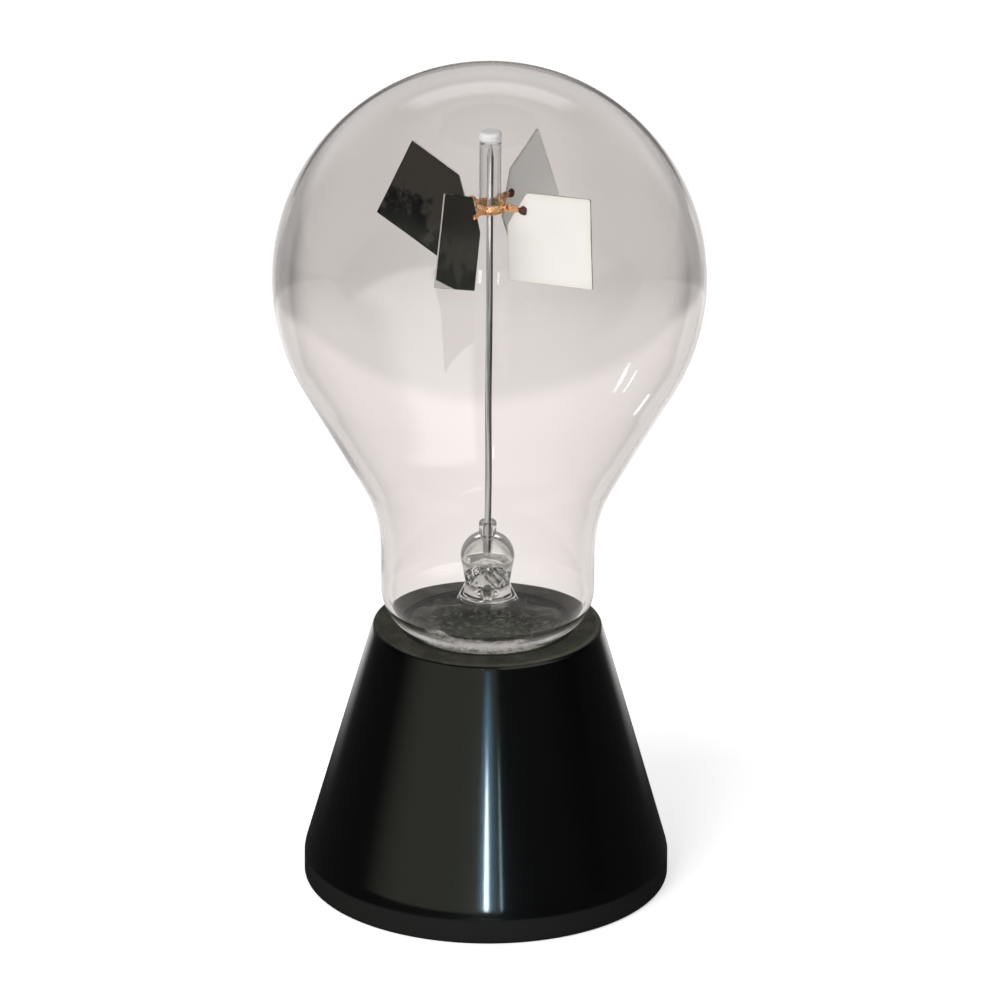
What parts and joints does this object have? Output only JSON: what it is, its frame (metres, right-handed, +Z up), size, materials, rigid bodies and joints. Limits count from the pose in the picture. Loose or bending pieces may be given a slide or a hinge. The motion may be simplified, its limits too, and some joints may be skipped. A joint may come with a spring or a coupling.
{
  "type": "crookes radiometer",
  "caption": "Light mill: a vaned rotor with black and white faces spins on a needle in an evacuated glass bulb, cemented to a black conical base.",
  "frame": {"origin": "on the needle's axis, in the plane that the foot stands on", "axes": "+Z up along the needle; the picture looks along +Y and down, with +X to its right"},
  "size_m": [0.075, 0.075, 0.1491],
  "materials": {
    "base_plastic": "polished black moulding",
    "seat_cement": "dull dark cement",
    "bulb_glass": "clear blown glass",
    "stem_glass": "clear worked glass",
    "needle_steel": "drawn bright steel",
    "cap_glass": "clear glass tube, closed end",
    "copper": "bright copper",
    "bead_cement": "dark brown cement",
    "vane_white": "white-coated mica sheet",
    "lampblack": "soot"
  },
  "bodies": {
    "base": {"base_shell": "base_plastic", "seat_cement": "seat_cement", "glass_bulb": "bulb_glass", "stem_skirt": "stem_glass", "stem_ball": "stem_glass", "exhaust_tube": "stem_glass", "needle_seal": "stem_glass", "needle": "needle_steel"},
    "rotor": {"bearing_cap": "cap_glass", "hub_collar": "copper", "arm_1": "copper", "arm_2": "copper", "arm_3": "copper", "arm_4": "copper", "cement_1": "bead_cement", "cement_2": "bead_cement", "cement_3": "bead_cement", "cement_4": "bead_cement", "vane_1": "vane_white", "vane_2": "vane_white", "vane_3": "vane_white", "vane_4": "vane_white", "lampblack_1": "lampblack", "lampblack_2": "lampblack", "lampblack_3": "lampblack", "lampblack_4": "lampblack"}
  },
  "joints": [
    {"name": "rotor_spin", "type": "hinge", "parent": "base", "child": "rotor", "pos_m": [0, 0, 0.13705], "axis": [0, 0, 1], "continuous": true}
  ]
}
